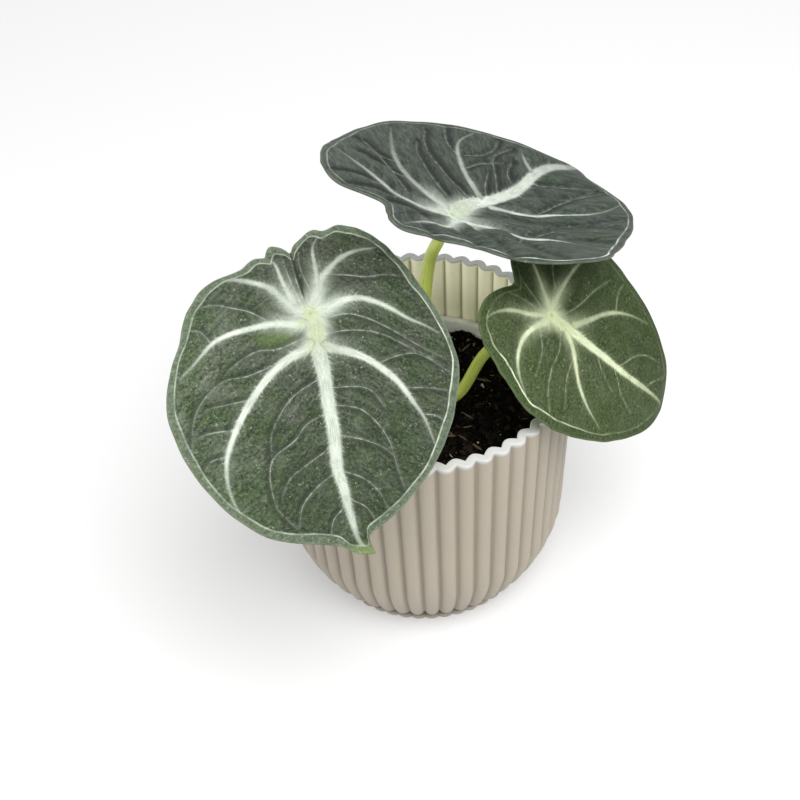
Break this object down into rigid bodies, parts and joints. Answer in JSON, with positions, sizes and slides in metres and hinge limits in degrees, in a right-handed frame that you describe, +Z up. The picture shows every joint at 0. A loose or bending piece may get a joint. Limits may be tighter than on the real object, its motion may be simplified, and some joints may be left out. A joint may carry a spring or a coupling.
{
  "type": "potted alocasia",
  "caption": "Young ninja alocasia with dark velvety leaves and silver veins, in a thin nursery pot inside a small fluted cover pot that stands on a table.",
  "frame": {"origin": "centre of the cover pot's flat underside, on the surface that it stands on", "axes": "+Z up along the pot's axis; the leaf that hangs over the rim leans towards -Y, and the smallest leaf is on the +X side"},
  "size_m": [0.1103, 0.1043, 0.1239],
  "materials": {
    "cover_pot": "warm off-white, matte",
    "nursery_pot": "thin grey translucent plastic",
    "soil": "dark damp potting soil",
    "crown": "olive green plant stem",
    "petiole": "smooth lime green stalk",
    "blade_left": "dark grey-green velvet with silver veins",
    "blade_top": "slate green with silver veins",
    "blade_right": "mid green with pale veins"
  },
  "bodies": {
    "root": {"cover_pot": "cover_pot", "nursery_pot": "nursery_pot", "soil": "soil", "crown": "crown", "petiole_left": "petiole", "petiole_top": "petiole", "petiole_right": "petiole", "blade_left": "blade_left", "blade_top": "blade_top", "blade_right": "blade_right"}
  },
  "joints": []
}
